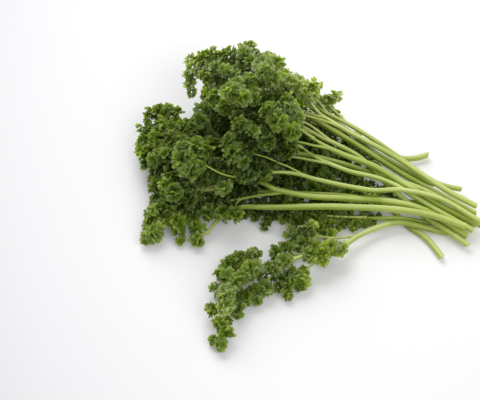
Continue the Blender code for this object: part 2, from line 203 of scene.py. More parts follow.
# ---- reading the frame

def outline(node):
    """The node's corners with doubles merged: their places, and each corner's neighbours."""
    shape = bmesh.new()
    shape.from_mesh(NODES[node].data)
    bmesh.ops.remove_doubles(shape, verts=shape.verts, dist=0.005 * MM)
    shape.verts.index_update()
    places = [v.co.copy() for v in shape.verts]
    beside = [[e.other_vert(v).index for e in v.link_edges] for v in shape.verts]
    shape.free()
    return places, beside


def rings(places, beside, longest, sides):
    """A tube's rings: groups of so many corners that are joined by edges no longer than this."""
    found, seen = [], set()
    for start in range(len(places)):
        if start in seen:
            continue
        group, reach = {start}, [start]
        while reach:
            here = reach.pop()
            for other in beside[here]:
                if other not in group and (places[other] - places[here]).length < longest:
                    group.add(other)
                    reach.append(other)
        seen |= group
        if len(group) == sides:
            found.append(sorted(group))
    return found


def tube_rings(node, longest, sides):
    """A node's corners, and the middle and radius of each ring of its tube."""
    places, beside = outline(node)
    groups = rings(places, beside, longest, sides)
    centres = [sum((places[n] for n in group), Vector()) / len(group) for group in groups]
    radii = [max((places[n] - c).length for n in group) for group, c in zip(groups, centres)]
    return places, centres, radii


def stem_course(node):
    """A stem's centreline and radii, from its cut end: after each ring comes the nearest that is left."""
    _, centres, radii = tube_rings(node, STEM_EDGE, STEM_SIDES)
    left = set(range(len(centres)))
    order = [max(left, key=lambda n: centres[n].x)]
    left -= {order[0]}
    while left:
        last = centres[order[-1]]
        order.append(min(left, key=lambda n: (centres[n] - last).length))
        left.remove(order[-1])
    return [centres[n] for n in order], [radii[n] for n in order]


def tuft_centres(node, step=1.7 * MM, apart=6.6 * MM, least=3.2 * MM):
    """The middles of a leaf solid's lumps: its deepest points that lie well apart, and their depths."""
    mesh = NODES[node].data
    corners = [v.co for v in mesh.vertices]
    tree = BVHTree.FromPolygons(corners, [p.vertices for p in mesh.polygons])
    low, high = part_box(node)
    counts = [max(1, int((high[a] - low[a]) / step)) for a in range(3)]
    deep = []
    for cell in itertools.product(*map(range, counts)):
        point = Vector([low[a] + (cell[a] + 0.5) * step for a in range(3)])
        spot, normal, _, gap = tree.find_nearest(point)
        if gap > least and (point - spot).dot(normal) < 0:
            deep.append((gap, point))
    deep.sort(key=lambda pair: -pair[0])
    picked = []
    for gap, point in deep:
        if all((point - other).length > apart for other, _ in picked):
            picked.append((point, gap))
    return picked


class FrondPlan:
    """Where one frond's stalk, branchlets and tufts go."""

    def __init__(self, node):
        self.node = node
        self.stem = "stem_" + node[6:8]
        course, _ = STEMS[self.stem]
        places, centres, radii = tube_rings(node, STALK_EDGE, STALK_SIDES)
        centres = [c for c, radius in zip(centres, radii) if radius < STALK_WIDEST]
        if not centres:
            centres = [min(places, key=lambda place: nearest_on(course, place)[0])]
        self.tufts = tuft_centres(node)
        root = min(centres, key=lambda c: nearest_on(course, c)[0])
        along = nearest_on(course, root)[2]
        at_end = along > len(course) - 1.02
        bare = sorted(centres, key=lambda c: (c - root).length)
        middle = sum((t for t, _ in self.tufts), Vector()) / len(self.tufts)
        bare = [c for c in bare if (c - root).length < (middle - root).length]
        if at_end:
            start = course[-1] - (course[-1] - course[-2]) * 0.2
        else:
            back = max(0.0, along - 0.9)
            start = course[int(back)].lerp(course[int(back) + 1], back - int(back))
            bare = [c for c in bare if nearest_on(course, c)[0] > 3.2 * MM] or bare[-1:]
        self.tip = max(self.tufts, key=lambda t: (t[0] - root).length)[0]
        self.course = smooth([start, *bare, *self.way_in(bare[-1]), self.tip], STALK_STEP)
        self.clumps = self.clumps_round_tufts()
        aside = Vector(ASIDE.get(node[6:], (0, 0, 0))) * MM
        for clump in self.clumps:
            clump.centre = clump.centre + aside
        self.course = [point + aside * (n / len(self.course)) for n, point in enumerate(self.course)]
        for point in self.course:
            point.z = max(point.z, STALK_FLOOR)

    def way_in(self, last):
        """A point on the way from the bare stalk to the tip, drawn towards the tufts in between."""
        between = [t for t, _ in self.tufts if t != self.tip]
        if not between:
            return []
        middle = sum(between, Vector()) / len(between)
        on_line = nearest_on([last, self.tip], middle)[1]
        if (on_line - last).length < 3 * MM or (on_line - self.tip).length < 3 * MM:
            return []
        return [on_line.lerp(middle, 0.4)]

    def clumps_round_tufts(self):
        """A clump round each tuft, and smaller ones along its branchlet and the stalk."""
        made = []
        for centre, depth in self.tufts:
            _, spot, along = nearest_on(self.course, centre)
            behind = self.course[max(0, int(along) - 4)]
            grows = (centre - (behind if centre == self.tip else spot.lerp(behind, 0.6))).normalized()
            radius = min(depth + 0.6 * MM, 7.0 * MM)
            made.append(Clump(centre, radius, grows))
            reach = (centre - spot).length
            if reach > 5 * MM:
                made.append(Clump(spot.lerp(centre, 0.45), 0.74 * radius, grows))
        first = min(nearest_on(self.course, centre)[2] for centre, _ in self.tufts)
        for n in range(int(first), len(self.course) - 2, 3):
            spot = self.course[n]
            if min((spot - clump.centre).length for clump in made) > 3.2 * MM:
                made.append(Clump(spot, 4.4 * MM, (self.course[n + 1] - spot).normalized()))
        return made


class Clump:
    """A round mass of leaflets: its middle, its radius, and the way that it grows."""

    def __init__(self, centre, radius, grows):
        self.centre, self.radius, self.grows, self.depth = centre, radius, grows.normalized(), 0.0


def nearest_plan(spot, plans):
    """The frond with the clump that is nearest to this place."""
    return min(plans, key=lambda plan: min((spot - clump.centre).length for clump in plan.clumps))


def cover_midribs():
    """Leaflets hide each stem some way beyond its first fork, where it runs among its fronds."""
    for name, (course, _) in STEMS.items():
        pick = random.Random(name)
        own = [plan for plan in FRONDS if plan.stem == name]
        line = smooth(course, 4.6 * MM)
        first = min(nearest_on(line, plan.course[0])[2] for plan in own)
        bare = 2 if len(own) > 4 else 5
        for n in range(round(first) + bare, len(line)):
            aside = Vector((pick.uniform(-2, 2), pick.uniform(-2.6, 2.6), pick.uniform(0.6, 2.2))) * MM
            spot = line[n] + aside
            way = (line[min(n + 1, len(line) - 1)] - line[n - 1]).normalized()
            nearest_plan(spot, own).clumps.append(Clump(spot, pick.uniform(3.8, 5.6) * MM, way))


def bridge_tufts(closest=8.5 * MM, furthest=13.5 * MM, room=5.6 * MM, sunk=1.5 * MM):
    """Neighbouring tufts meet: a smaller clump fills each gap between two of them."""
    tufts = [(centre, plan) for plan in FRONDS for centre, _ in plan.tufts]
    taken = [clump.centre for plan in FRONDS for clump in plan.clumps]
    for n, (a, plan) in enumerate(tufts):
        for b, _ in tufts[n + 1:]:
            if not closest < (b - a).length < furthest:
                continue
            spot = a.lerp(b, 0.5) - Vector((0, 0, sunk))
            if min((spot - other).length for other in taken) > room:
                plan.clumps.append(Clump(spot, 5.2 * MM, (b - a).normalized()))
                taken.append(spot)


def fill_in():
    """Leaves that fill the bunch where no tuft stands, each grown by the nearest frond."""
    for x, y, z, radius in FILLERS:
        spot = Vector((x, y, z)) * MM
        plan = nearest_plan(spot, FRONDS)
        grows = (spot - plan.course[0]).normalized()
        plan.clumps.append(Clump(spot, radius * MM, grows))


def fill_under(step=7.5 * MM, reach=24 * MM, radius=5.3 * MM):
    """Low leaves stand wherever the heap has leaf on every side, so that no surface shows through."""
    heap = [plan for plan in FRONDS if plan.stem != NEAR_SPRIG]
    above = [clump.centre.copy() for plan in heap for clump in plan.clumps]
    low = [spot for spot in above if spot.z < 13 * MM]
    pick = random.Random(7)
    for i in range(-15, 8):
        for j in range(-8, 17):
            aside = Vector((pick.uniform(-1, 1), pick.uniform(-1, 1), 0)) * 2 * MM
            spot = Vector((i * step, j * step, 0)) + aside
            spot.z = pick.uniform(5, 10) * MM
            sides = {(other.x > spot.x, other.y > spot.y) for other in above
                     if flat_gap(spot, other) < reach}
            over = sum(flat_gap(spot, other) < 0.6 * reach for other in above)
            if len(sides) < 4 or over < 4 or min(flat_gap(spot, other) for other in low) < 0.75 * step:
                continue
            grows = Vector((pick.uniform(-1, 0), pick.uniform(-0.5, 0.5), 0.6))
            nearest_plan(spot, heap).clumps.append(Clump(spot, radius, grows))


def keep_under(name, least_x, room=1.5 * MM, widest=4.2 * MM, lowest=3.5 * MM):
    """Leaf that would cover this stem's near part stays under it."""
    course = [point for point in STEMS[name][0] if point.x > least_x]
    for plan in FRONDS:
        for clump in plan.clumps:
            _, spot, _ = nearest_on(course, clump.centre)
            if flat_gap(spot, clump.centre) < clump.radius and clump.centre.z > spot.z - clump.radius:
                clump.radius = min(clump.radius, widest)
                clump.centre.z = max(lowest, spot.z - clump.radius - room)


def clear_gaps():
    """Takes out the clumps that stand in a gap."""
    for plan in FRONDS:
        plan.clumps = [clump for clump in plan.clumps if all(
            clump.centre.z > high * MM or flat_gap(clump.centre, Vector((x, y, 0)) * MM) > radius * MM
            for x, y, radius, high in GAPS)]


def shade_inner(reach=11 * MM, deepest=26 * MM):
    """Painted shade: leaf that lies deep under other leaf, or under the stems, is painted a deeper green.
    """
    every = [clump for plan in FRONDS for clump in plan.clumps]
    over = [clump.centre for clump in every] + [point for line in LINES.values() for point in line]
    for clump in every:
        top = max(other.z for other in over if flat_gap(clump.centre, other) < reach)
        clump.depth = min(1.0, (top - clump.centre.z) / deepest)


STEMS = {name: stem_course(name) for name in sorted(NODES) if name.startswith("stem_")}
LINES = {name: smooth(course, 2.5 * MM) for name, (course, _) in STEMS.items()}
FRONDS = [FrondPlan(name) for name in sorted(NODES) if name.startswith("frond_")]
cover_midribs()
bridge_tufts()
fill_in()
fill_under()
clear_gaps()
keep_under("stem_10", least_x=-46 * MM)
shade_inner()


# ---- modelling helpers

def take(obj):
    """Makes obj the only selected object, and the active one."""
    for other in bpy.context.selected_objects:
        other.select_set(False)
    obj.select_set(True)
    bpy.context.view_layer.objects.active = obj


def ribbed_profile(points, ribs, depth):
    """A closed curve round the origin, one unit in radius, with ribs."""
    bpy.ops.curve.primitive_nurbs_circle_add(radius=1)
    profile = bpy.context.object
    profile.data.splines.clear()
    spline = profile.data.splines.new("POLY")
    spline.points.add(points - 1)
    spline.use_cyclic_u = True
    for n, point in enumerate(spline.points):
        turn = 2 * math.pi * n / points
        size = 1 + depth * math.cos(ribs * turn) + depth * 0.5 * math.cos((ribs - 4) * turn + 1.3)
        point.co = (size * math.cos(turn), size * math.sin(turn), 0, 1)
    return profile


def swept(name, runs, profile):
    """A mesh of closed tubes with this profile: each run is (points, radii)."""
    bpy.ops.curve.primitive_nurbs_path_add()
    tube = bpy.context.object
    tube.name = name
    curve = tube.data
    curve.splines.clear()
    curve.dimensions = "3D"
    curve.twist_mode = "MINIMUM"
    curve.bevel_mode = "OBJECT"
    curve.bevel_object = profile
    for points, radii in runs:
        spline = curve.splines.new("POLY")
        spline.points.add(len(points) - 1)
        for target, point, radius in zip(spline.points, points, radii):
            target.co = (*point, 1)
            target.radius = radius
    take(tube)
    bpy.ops.object.convert(target="MESH")
    made = bpy.context.object
    made.data.name = name
    bpy.ops.object.mode_set(mode="EDIT")
    bpy.ops.mesh.select_all(action="SELECT")
    bpy.ops.mesh.remove_doubles(threshold=0.001 * MM)
    bpy.ops.mesh.select_all(action="SELECT")
    bpy.ops.mesh.fill_holes(sides=0)
    bpy.ops.mesh.select_all(action="SELECT")
    bpy.ops.mesh.normals_make_consistent(inside=False)
    bpy.ops.object.mode_set(mode="OBJECT")
    bpy.ops.object.shade_smooth_by_angle(angle=math.radians(50))
    return made


def point_values(mesh, name, rows):
    """Stores four numbers for each corner, which a material reads as a colour."""
    layer = mesh.color_attributes.new(name, "FLOAT_COLOR", "POINT")
    layer.data.foreach_set("color", np.asarray(rows, np.float32).ravel())


def numbers(items, key, width=1, kind=np.float32):
    """One of the values of a mesh's corners, faces or edges, as an array with a row for each."""
    found = np.empty(len(items) * width, kind)
    items.foreach_get(key, found)
    return found.reshape(-1, width) if width > 1 else found


# ---- materials

def new_material(name):
    """A new material, its node tree and its shader."""
    made = bpy.data.materials.new(name)
    made.use_nodes = True
    tree = made.node_tree
    return made, tree, tree.nodes["Principled BSDF"]


def feed(tree, made, inputs):
    """Gives a node's inputs the outputs of other nodes, or plain values."""
    for key, value in inputs.items():
        if isinstance(value, bpy.types.NodeSocket):
            tree.links.new(value, made.inputs[key])
        else:
            made.inputs[key].default_value = value


def node(tree, kind, inputs=None, **settings):
    """A new node with these inputs and settings."""
    made = tree.nodes.new(kind)
    for key, value in settings.items():
        setattr(made, key, value)
    feed(tree, made, inputs or {})
    return made


def maths(tree, operation, *values):
    """The result of this operation on two or three values."""
    return node(tree, "ShaderNodeMath", dict(enumerate(values)), operation=operation).outputs[0]


def weighted(tree, start, terms):
    """The start, plus each value's distance from its middle times its weight, kept from 0 to 1."""
    total = start - sum(weight * middle for _, weight, middle in terms)
    for value, weight, _ in terms:
        total = maths(tree, "MULTIPLY_ADD", value, weight, total)
    total.node.use_clamp = True
    return total


def clouds(tree, place, scale, detail):
    """Soft noise from 0 to 1."""
    inputs = {"Vector": place, "Scale": scale, "Detail": detail}
    return node(tree, "ShaderNodeTexNoise", inputs).outputs[0]


def channels(tree, name):
    """The first three of the numbers that a mesh's corners carry under this name."""
    stored = node(tree, "ShaderNodeAttribute", attribute_name=name).outputs["Color"]
    return node(tree, "ShaderNodeSeparateColor", {0: stored}).outputs


def mix_colours(tree, share, a, b, blend="MIX"):
    """Colour a with this share of colour b."""
    mixed = node(tree, "ShaderNodeMix", {0: share, 6: a, 7: b}, data_type="RGBA", blend_type=blend)
    return mixed.outputs[2]


def colour_ramp(tree, value, stops):
    """The colour that a value has between these stops."""
    ramp = node(tree, "ShaderNodeValToRGB", {0: value})
    elements = ramp.color_ramp.elements
    while len(elements) < len(stops):
        elements.new(0.5)
    for element, (place, colour) in zip(elements, stops):
        element.position = place
        element.color = (*colour, 1)
    return ramp.outputs[0]


def complete(tree, shader, colour, grain, strength, rough, gloss):
    """Links a material's colour, fine bumps, roughness and gloss to its shader."""
    bump = node(tree, "ShaderNodeBump", {"Height": grain, "Strength": strength, "Distance": 0.4 * MM})
    feed(tree, shader, {"Base Color": colour, "Normal": bump.outputs[0], "Roughness": rough,
                        "Specular IOR Level": gloss})


def leaf_material(settings):
    """Frilled leaf: painted shade deep in each clump, painted light on its outer leaf and a paler margin
    that is partly a painted highlight, with fanning veins.
    """
    made, tree, shader = new_material("parsley_leaf")
    height, tint_and_shading, upper = channels(tree, "leaf_tone_and_light")
    place = node(tree, "ShaderNodeTexCoord").outputs["Object"]
    mottle = clouds(tree, place, 420, 4)
    patch = clouds(tree, place, 38, 2)
    uv = node(tree, "ShaderNodeUVMap", uv_map="leaf_map").outputs[0]
    veins = node(tree, "ShaderNodeTexWave", {"Vector": uv, "Scale": 3.2, "Distortion": 2.5, "Detail": 2,
                                             "Detail Scale": 1.5}, bands_direction="X").outputs[1]
    # Painted light and shade: the ramp runs from a shaded fold through a lit face to a highlit margin,
    # driven by how far out the leaf lies, its tint, its painted shade and noise.
    light = weighted(tree, 0.25, [(height, 0.42, 0), (tint_and_shading, 0.9, 0.55), (mottle, 0.5, 0.5),
                                  (patch, 0.7, 0.5), (veins, 0.08, 0)])
    colour = colour_ramp(tree, light, [
        (0.0, settings.fold_shade_colour), (0.35, settings.face_colour), (0.7, settings.lit_colour),
        (1.0, settings.margin_and_highlight_colour)])
    cast = colour_ramp(tree, clouds(tree, place, 62, 1), [
        (0.35, (0.96, 1.0, 1.25)), (0.5, (1, 1, 1)), (0.62, (1.12, 1.15, 0.42))])
    colour = mix_colours(tree, 1.0, colour, cast, "MULTIPLY")
    under = mix_colours(tree, 0.45, colour, (*settings.under_colour, 1))
    complete(tree, shader, colour=mix_colours(tree, upper, under, colour), strength=0.35,
             grain=maths(tree, "MULTIPLY_ADD", mottle, 0.6, maths(tree, "MULTIPLY", veins, 0.5)),
             rough=maths(tree, "MULTIPLY_ADD", mottle, 0.2, 0.42), gloss=0.3)
    feed(tree, shader, {
        "Subsurface Weight": 0.5, "Subsurface Radius": (0.7, 1.0, 0.1), "Subsurface Scale": 1.0 * MM})
    return made


def stem_material(settings, name="parsley_stem"):
    """Waxy stalk: pale and dark streaks that run its length, yellower at the foot, pith on the cut;
    painted light on its top and ribs, painted shade underneath, in its grooves and under other stems.
    """
    made, tree, shader = new_material(name)
    along, rib, cut = channels(tree, "stalk_run")
    uv = node(tree, "ShaderNodeUVMap", uv_map="stalk_map").outputs[0]
    stretched = node(tree, "ShaderNodeMapping", {"Vector": uv, "Scale": (26.0, 1.2, 1.0)}).outputs[0]
    streak = clouds(tree, stretched, 1, 3)
    place = node(tree, "ShaderNodeTexCoord").outputs["Object"]
    patch = clouds(tree, place, 30, 3)
    fine = clouds(tree, place, 900, 2)
    # Painted light and shade: the stalk's top side is painted lighter and its underside darker.
    underside_shade = node(tree, "ShaderNodeSeparateXYZ", {"Vector": uv}).outputs[0]
    light = weighted(tree, 0.12, [
        (rib, 0.42, 0), (streak, 0.45, 0), (patch, 0.6, 0.5), (underside_shade, -1, 0.22)])
    skin = colour_ramp(tree, light, [
        (0.0, settings.groove_and_shade_colour), (0.5, settings.skin_colour), (1.0, settings.rib_and_highlight_colour)])
    foot = colour_ramp(tree, along, [(0.0, (1, 1, 1)), (0.12, (0.35, 0.35, 0.35)), (0.4, (0, 0, 0))])
    skin = mix_colours(tree, maths(tree, "MULTIPLY", foot, 0.55), skin, (*settings.foot_colour, 1))
    pith = mix_colours(tree, fine, (*settings.pith_colour, 1), (0.62, 0.66, 0.36, 1))
    complete(tree, shader, colour=mix_colours(tree, cut, skin, pith), strength=0.25,
             grain=maths(tree, "MULTIPLY_ADD", streak, 0.8, maths(tree, "MULTIPLY", fine, 0.2)),
             rough=maths(tree, "MULTIPLY_ADD", streak, 0.18, 0.26), gloss=0.5)
    return made


# ---- settings

def colour_setting(name, description, default):
    """A colour that can be set in the panel."""
    return bpy.props.FloatVectorProperty(
        name=name, description=description, subtype="COLOR", size=3, min=0, max=1, default=default)


def number_setting(name, description, default, unit="NONE"):
    """A number that can be set in the panel."""
    return bpy.props.FloatProperty(name=name, description=description, default=default, unit=unit)


class StemSettings(bpy.types.PropertyGroup):
    ribs: bpy.props.IntProperty(name="Ribs", description="Ridges round a stem", default=9, min=3)
    rib_depth: number_setting("Rib Depth", "Height of a ridge as a share of the radius", 0.055)
    ring_step: number_setting("Ring Step", "Length of a stem's facets", 2.4 * MM, "LENGTH")
    cut_slant: number_setting("Cut Slant", "How far a cut leans along the stem", 0.9 * MM, "LENGTH")
    skin_colour: colour_setting("Skin", "Stem between its ribs", (0.33, 0.43, 0.045))
    # Painted highlight and shade: ribs are paler and grooves darker than the skin, partly as ribbed stems
    # are and partly as painted highlight and painted shade.
    rib_and_highlight_colour: colour_setting("Rib", "Crest of a rib", (0.74, 0.83, 0.32))
    groove_and_shade_colour: colour_setting("Groove", "Bottom of a groove", (0.10, 0.145, 0.008))
    foot_colour: colour_setting("Foot", "Stem near its cut end", (0.56, 0.63, 0.15))
    pith_colour: colour_setting("Pith", "Face of the cut", (0.50, 0.56, 0.27))


class LeafSettings(bpy.types.PropertyGroup):
    length: number_setting("Length", "Of a full-grown leaflet", 5.4 * MM, "LENGTH")
    # Painted shade: how much darker the leaf deep in the heap is painted.
    inner_shade: number_setting("Inner Shade", "How much darker the deepest leaf is", 0.86)
    thickness: number_setting("Thickness", "Of a leaflet", 0.32 * MM, "LENGTH")
    # Fold, face, lit and margin are shaded and lit copies of one leaf green: painted shade in the folds,
    # painted light and highlight on the outer leaf and margin.
    fold_shade_colour: colour_setting("Fold", "Leaf deep in a fold", (0.033, 0.064, 0.002))
    face_colour: colour_setting("Face", "Leaf between fold and margin", (0.103, 0.178, 0.006))
    lit_colour: colour_setting("Lit", "Outer leaf", (0.205, 0.297, 0.036))
    margin_and_highlight_colour: colour_setting("Margin", "Pale rim of a leaflet", (0.50, 0.61, 0.23))
    under_colour: colour_setting("Underside", "Paler back of a leaflet", (0.26, 0.33, 0.15))


class StageSettings(bpy.types.PropertyGroup):
    floor_colour: colour_setting("Floor", "The surface under the bunch", (0.84, 0.84, 0.84))
    key_power: number_setting("Key Power", "Of the large lamp", 31.5)
    distance: number_setting("Distance", "From the camera to the bunch", 2.4, "LENGTH")


# ---- stems

class PARSLEY_OT_stems(bpy.types.Operator):
    """Sweep a ribbed section along each stem and finish its cut end"""

    bl_idname = "parsley.stems"
    bl_label = "Stems"

    def execute(self, context):
        settings = context.scene.parsley_stem
        finish = stem_material(settings)
        profile = ribbed_profile(20, settings.ribs, settings.rib_depth)
        for number, (name, (course, radii)) in enumerate(STEMS.items()):
            piece = self.stem(name, course, radii, profile, settings, number)
            piece.data.materials.append(finish)
            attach(piece, "root")
            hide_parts(name)
        bpy.data.objects.remove(profile)
        return {"FINISHED"}

    def stem(self, name, course, radii, profile, settings, number):
        """One ribbed stem, a little uneven, that narrows at its far end."""
        points = smooth(course, settings.ring_step)
        total = len(points) - 1
        sizes = []
        for n, point in enumerate(points):
            place = n / total * (len(radii) - 1)
            low = min(int(place), len(radii) - 2)
            size = radii[low] + (radii[low + 1] - radii[low]) * (place - low)
            uneven = 1.03 + 0.09 * noise.noise(point * 60 + Vector((number, 0, 0)))
            narrowed = 1 - 0.45 * (n / total) ** 6
            sizes.append(size * uneven * narrowed)
            point.z = max(point.z, 1.1 * sizes[-1])
        runs = [(points, sizes)]
        if name in BESIDE:
            extra = smooth([Vector(place) * MM for place in BESIDE[name]], settings.ring_step)
            narrowed = [1 - 0.7 * abs(2 * n / len(extra) - 1) ** 5 for n in range(len(extra))]
            runs.append((extra, [BESIDE_SIZE * share for share in narrowed]))
        made = swept(name + "_ribbed", runs, profile)
        self.cut(made, points, sizes, settings, number)
        # Each stem's own tone, less the painted shade where it lies under other stems.
        tone = 0.18 * math.sin(GOLDEN * number * 2)
        map_along(made, runs, [tone - self.cover(name, point) for line, _ in runs for point in line])
        return made

    def cover(self, name, point, reach=5 * MM):
        """Painted shade: how far a stem lies under its neighbours, from 0 to 0.6, by which its colour is
        darkened.
        """
        above = [other.z for key, line in LINES.items() if key != name
                 for other in line if flat_gap(other, point) < reach]
        return 0.6 * min(1.0, max(0.0, (max(above, default=0.0) - point.z) / (10 * MM)))

    def cut(self, made, points, sizes, settings, number):
        """Leans the cut across the stem, and gives it a rim round a slightly sunken pith."""
        outward = (points[0] - points[1]).normalized()
        lean = Vector((math.sin(GOLDEN * number), math.cos(GOLDEN * number), 0.6))
        take(made)
        bpy.ops.object.mode_set(mode="EDIT")
        shape = bmesh.from_edit_mesh(made.data)
        cap = min((f for f in shape.faces if len(f.verts) > 6),
                  key=lambda f: (f.calc_center_median() - points[0]).length)
        for corner in cap.verts:
            across = (corner.co - points[0]) / sizes[0]
            corner.co += outward * settings.cut_slant * across.dot(lean)
        bmesh.ops.inset_region(shape, faces=[cap], thickness=0.12 * sizes[0], depth=0)
        bmesh.ops.inset_region(shape, faces=[cap], thickness=0.35 * sizes[0], depth=-0.12 * sizes[0])
        bmesh.update_edit_mesh(made.data)
        bpy.ops.object.mode_set(mode="OBJECT")


def map_along(made, runs, tones_and_shade=None):
    """Gives a stalk's mesh its map, and its numbers: length along, height of rib plus the stem's tone and
    painted shade, and cut face.
    """
    mesh = made.data
    co = numbers(mesh.vertices, "co", 3)
    line = np.array([point for points, _ in runs for point in points])
    sizes = np.array([size for _, radii in runs for size in radii])
    near = ((co[:, None, :] - line[None]) ** 2).sum(2).argmin(1)
    way = line[np.minimum(near + 1, len(line) - 1)] - line[np.maximum(near - 1, 0)]
    way /= np.linalg.norm(way, axis=1)[:, None]
    off = co - line[near]
    beyond = (off * way).sum(1)
    side = off - way * beyond[:, None]
    radius = np.linalg.norm(side, axis=1) / sizes[near]
    up = np.array((0.0, 0.0, 1.0)) - way * way[:, 2:3]
    up /= np.linalg.norm(up, axis=1)[:, None]
    across = np.cross(way, up)
    turn = np.arctan2((side * across).sum(1), (side * up).sum(1)) / (2 * math.pi)
    step = np.linalg.norm(np.diff(line, axis=0), axis=1).mean()
    along = (near * step + beyond) / MAP_LENGTH
    share = near / (len(line) - 1)
    rib = np.clip((radius - 0.92) / 0.18, 0, 1)
    face = np.zeros(len(co))
    if tones_and_shade:
        face = ((radius < 0.9) & (near == 0)).astype(float)
        rib = rib + np.array(tones_and_shade)[near]
    point_values(mesh, "stalk_run", np.stack([share, rib, face, np.ones(len(co))], axis=1))
    layer = mesh.uv_layers.new(name="stalk_map")
    corner = numbers(mesh.loops, "vertex_index", kind=np.int32)
    uv = np.stack([np.abs(turn[corner]), along[corner]], axis=1)
    layer.data.foreach_set("uv", uv.astype(np.float32).ravel())


# ---- stalks

class PARSLEY_OT_stalks(bpy.types.Operator):
    """Sweep each frond's stalk and the branchlets that carry its tufts"""

    bl_idname = "parsley.stalks"
    bl_label = "Stalks"

    def execute(self, context):
        settings = context.scene.parsley_stem
        finish = stem_material(settings, "parsley_stalk")
        profile = ribbed_profile(10, 5, 0.05)
        for plan in FRONDS:
            runs = self.runs(plan)
            piece = swept(plan.node + "_stalk", runs, profile)
            map_along(piece, runs)
            piece.data.materials.append(finish)
            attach(piece, "root")
        bpy.data.objects.remove(profile)
        return {"FINISHED"}

    def runs(self, plan):
        """The stalk from the stem to the tip, then one branchlet for each other tuft."""
        course = plan.course
        count = len(course) - 1
        thin = THINNER.get(plan.node[6:8], 1.0)
        runs = [(course, [thin * self.size(n / count) for n in range(count + 1)])]
        for tuft, _ in plan.tufts:
            if tuft == plan.tip or not plan.clumps:
                continue
            centre = min((clump.centre for clump in plan.clumps), key=lambda spot: (spot - tuft).length)
            _, _, along = nearest_on(course, centre)
            reach = (centre - course[round(along)]).length
            back = max(1, round(along - reach * 0.7 / STALK_STEP))
            back = min(back, count)
            start = course[back]
            way = (course[min(back + 1, count)] - course[back - 1]).normalized()
            bend = start + way * reach * 0.45 + (centre - start) * 0.15
            points = smooth([start - way * 0.3 * MM, bend, centre], 1.8 * MM)
            points = [Vector((p.x, p.y, max(p.z, STALK_FLOOR))) for p in points]
            last = len(points) - 1
            here = thin * self.size(back / count)
            runs.append((points, [here * (0.85 - 0.35 * n / last) for n in range(last + 1)]))
        return runs

    @staticmethod
    def size(share):
        """A stalk is thickest where it joins the stem."""
        return MM * (0.85 - 0.4 * share + 0.35 * math.exp(-share * 22))


# ---- leaflets

def leaflet_master(number, thickness):
    """One leaflet of unit length that points along +X from the origin, its upper face to +Z.

    It starts as a flat grid, is gathered into a fan of three round lobes, and its margin is thrown into
    waves. A second skin under it, joined to it at the margin, closes it.
    """
    pick = random.Random(100 + number)
    bpy.ops.mesh.primitive_grid_add(x_subdivisions=12, y_subdivisions=2, size=2)
    leaf = bpy.context.object
    spread = math.radians(pick.uniform(58, 84))
    waves = pick.uniform(2.2, 3.6)
    phase = pick.uniform(0, 2 * math.pi)
    frill = pick.uniform(0.08, 0.17)
    rise = pick.uniform(0.05, 0.22)
    droop = pick.uniform(0.15, 0.45)
    twist = pick.uniform(-0.16, 0.16)
    sinus = pick.uniform(0.66, 0.84)
    lean = pick.uniform(-0.14, 0.14)
    for corner in leaf.data.vertices:
        s, v = corner.co.x, (corner.co.y + 1) / 2
        lobe = abs(math.cos(1.5 * math.pi * s)) ** 0.5
        reach = (sinus + (1 - sinus) * lobe) ** v * (1 - 0.18 * s * s + lean * s * v)
        turn = s * spread * (0.4 + 0.6 * v)
        radius = reach * (0.04 + 0.96 * v ** 0.85)
        wave = math.sin(waves * math.pi * s + phase)
        lift = rise * v - droop * v ** 3 + frill * v * v * wave + twist * v * s
        corner.co = (radius * math.cos(turn), radius * math.sin(turn), lift)
    take(leaf)
    bpy.ops.object.mode_set(mode="EDIT")
    bpy.ops.mesh.select_all(action="SELECT")
    bpy.ops.mesh.normals_make_consistent(inside=False)
    shape = bmesh.from_edit_mesh(leaf.data)
    if sum(f.normal.z for f in shape.faces) < 0:
        bpy.ops.mesh.flip_normals()
    bpy.ops.mesh.duplicate()
    bpy.ops.mesh.flip_normals()
    shape = bmesh.from_edit_mesh(leaf.data)
    for corner in shape.verts:
        if corner.select and not corner.is_boundary:
            corner.co.z -= thickness
    bmesh.update_edit_mesh(leaf.data)
    bpy.ops.mesh.select_all(action="SELECT")
    bpy.ops.mesh.remove_doubles(threshold=0.0001)
    bpy.ops.object.mode_set(mode="OBJECT")
    return leaf


class Pattern:
    """A leaflet's mesh as plain arrays, so that it can be copied many times quickly."""

    def __init__(self, leaf):
        mesh = leaf.data
        self.co = numbers(mesh.vertices, "co", 3, np.float64)
        self.corner = numbers(mesh.loops, "vertex_index", kind=np.int64)
        self.start = numbers(mesh.polygons, "loop_start", kind=np.int64)
        self.uv = numbers(mesh.uv_layers[0].data, "uv", 2)
        self.margin = np.linalg.norm(self.co[:, :2], axis=1)
        self.upper = (numbers(mesh.vertices, "normal", 3)[:, 2] > -0.3).astype(float)


def above_surface(co, soft=1.4 * MM):
    """Presses what would reach the surface flat on it, without turning it inside out."""
    low = co[:, 2] < soft
    co[low, 2] = soft * np.exp((co[low, 2] - soft) / soft)
    return co


